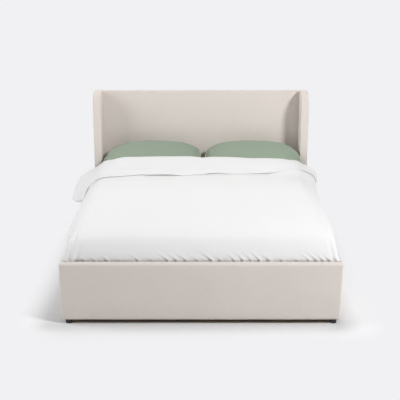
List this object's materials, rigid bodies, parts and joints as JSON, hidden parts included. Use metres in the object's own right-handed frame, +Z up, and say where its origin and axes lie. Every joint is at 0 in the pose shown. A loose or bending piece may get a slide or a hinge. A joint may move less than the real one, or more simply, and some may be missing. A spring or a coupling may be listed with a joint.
{
  "type": "ottoman bed",
  "caption": "Upholstered storage bed with a winged headboard, made up with bedding, whose slatted platform lifts at the foot on strut-assisted hinges.",
  "frame": {"origin": "the underside of the centre foot, on the floor in the middle of the bed's footprint", "axes": "+X to the right as seen from the foot of the bed, +Y towards the headboard, +Z up"},
  "size_m": [1.8996, 2.2, 1.17],
  "materials": {
    "linen": "greige linen-look weave, matt",
    "frame_timber": "planed softwood and board, unfinished",
    "floor_board": "thin hardboard, smooth",
    "backing": "dark non-woven backing cloth on board",
    "black_steel": "black powder coat",
    "strut_black": "smooth black paint",
    "strut_rod": "bright hard chrome",
    "black_plastic": "moulded, matt",
    "slat_wood": "planed pine, unfinished",
    "webbing": "woven nylon webbing",
    "ticking": "knitted mattress ticking",
    "sage_cotton": "plain sage cotton percale",
    "white_cotton": "plain white cotton percale"
  },
  "bodies": {
    "frame": {"headboard_pad": "linen", "headboard_core": "frame_timber", "headboard_back_cover": "backing", "left_wing_cover": "linen", "right_wing_cover": "linen", "left_wing_core": "frame_timber", "right_wing_core": "frame_timber", "left_side_rail_cover": "linen", "right_side_rail_cover": "linen", "left_side_rail_core": "frame_timber", "right_side_rail_core": "frame_timber", "foot_panel_cover": "linen", "foot_panel_core": "frame_timber", "front_left_foot": "black_plastic", "front_right_foot": "black_plastic", "rear_left_foot": "black_plastic", "rear_right_foot": "black_plastic", "centre_foot": "black_plastic", "floor_beam": "frame_timber", "left_floor_ledger": "frame_timber", "right_floor_ledger": "frame_timber", "left_floor_board": "floor_board", "right_floor_board": "floor_board", "left_foot_bracket": "black_steel", "right_foot_bracket": "black_steel", "left_head_bracket": "black_steel", "right_head_bracket": "black_steel", "left_base_plate": "black_steel", "right_base_plate": "black_steel"},
    "platform": {"platform_frame": "black_steel", "platform_centre_rail": "black_steel", "slat_1": "slat_wood", "slat_2": "slat_wood", "slat_3": "slat_wood", "slat_4": "slat_wood", "slat_5": "slat_wood", "slat_6": "slat_wood", "slat_7": "slat_wood", "slat_8": "slat_wood", "slat_9": "slat_wood", "slat_10": "slat_wood", "slat_11": "slat_wood", "slat_12": "slat_wood", "mattress_stop": "black_steel", "lift_strap": "webbing", "left_platform_hanger": "black_steel", "right_platform_hanger": "black_steel", "mattress": "ticking", "pillow_left": "sage_cotton", "pillow_right": "sage_cotton", "duvet": "white_cotton"},
    "left_main_arm": {"left_main_arm": "black_steel"},
    "right_main_arm": {"right_main_arm": "black_steel"},
    "left_second_link": {"left_second_link": "black_steel"},
    "right_second_link": {"right_second_link": "black_steel"},
    "left_strut_cylinder": {"left_strut_cylinder": "strut_black"},
    "right_strut_cylinder": {"right_strut_cylinder": "strut_black"},
    "left_strut_rod": {"left_strut_rod": "strut_rod"},
    "right_strut_rod": {"right_strut_rod": "strut_rod"}
  },
  "joints": [
    {"name": "left_arm_swing", "type": "hinge", "parent": "frame", "child": "left_main_arm", "pos_m": [-0.8022, 0.45555, 0.065], "axis": [1, 0, 0], "range_deg": [0, 60]},
    {"name": "platform_lift", "type": "hinge", "parent": "left_main_arm", "child": "platform", "pos_m": [-0.7937, 0.75, 0.235], "axis": [-1, 0, 0], "range_deg": [0, 96]},
    {"name": "right_arm_swing", "type": "hinge", "parent": "frame", "child": "right_main_arm", "pos_m": [0.8022, 0.45555, 0.065], "axis": [1, 0, 0], "range_deg": [0, 60]},
    {"name": "left_link_swing", "type": "hinge", "parent": "frame", "child": "left_second_link", "pos_m": [-0.8022, 0.34316, 0.09533], "axis": [1, 0, 0], "range_deg": [0, 57]},
    {"name": "right_link_swing", "type": "hinge", "parent": "frame", "child": "right_second_link", "pos_m": [0.8022, 0.34316, 0.09533], "axis": [1, 0, 0], "range_deg": [0, 57]},
    {"name": "left_strut_tilt", "type": "hinge", "parent": "frame", "child": "left_strut_cylinder", "pos_m": [-0.7827, 0.72732, 0.05963], "axis": [1, 0, 0], "range_deg": [0, 3.5]},
    {"name": "right_strut_tilt", "type": "hinge", "parent": "frame", "child": "right_strut_cylinder", "pos_m": [0.7827, 0.72732, 0.05963], "axis": [1, 0, 0], "range_deg": [0, 3.5]},
    {"name": "left_strut_slide", "type": "slide", "parent": "left_strut_cylinder", "child": "left_strut_rod", "axis": [0, -0.9677, 0.2521], "range_m": [0, 0.063]},
    {"name": "right_strut_slide", "type": "slide", "parent": "right_strut_cylinder", "child": "right_strut_rod", "axis": [0, -0.9677, 0.2521], "range_m": [0, 0.063]}
  ],
  "couplings": [
    {"joint": "left_arm_swing", "follows": "platform_lift", "ratio": 0.625},
    {"joint": "right_arm_swing", "follows": "platform_lift", "ratio": 0.625},
    {"joint": "left_link_swing", "follows": "platform_lift", "ratio": 0.59219},
    {"joint": "right_link_swing", "follows": "platform_lift", "ratio": 0.59219},
    {"joint": "left_strut_tilt", "follows": "platform_lift", "ratio": 0.035625},
    {"joint": "right_strut_tilt", "follows": "platform_lift", "ratio": 0.035625},
    {"joint": "left_strut_slide", "follows": "platform_lift", "m_per_rad": 0.037375},
    {"joint": "right_strut_slide", "follows": "platform_lift", "m_per_rad": 0.037375}
  ]
}
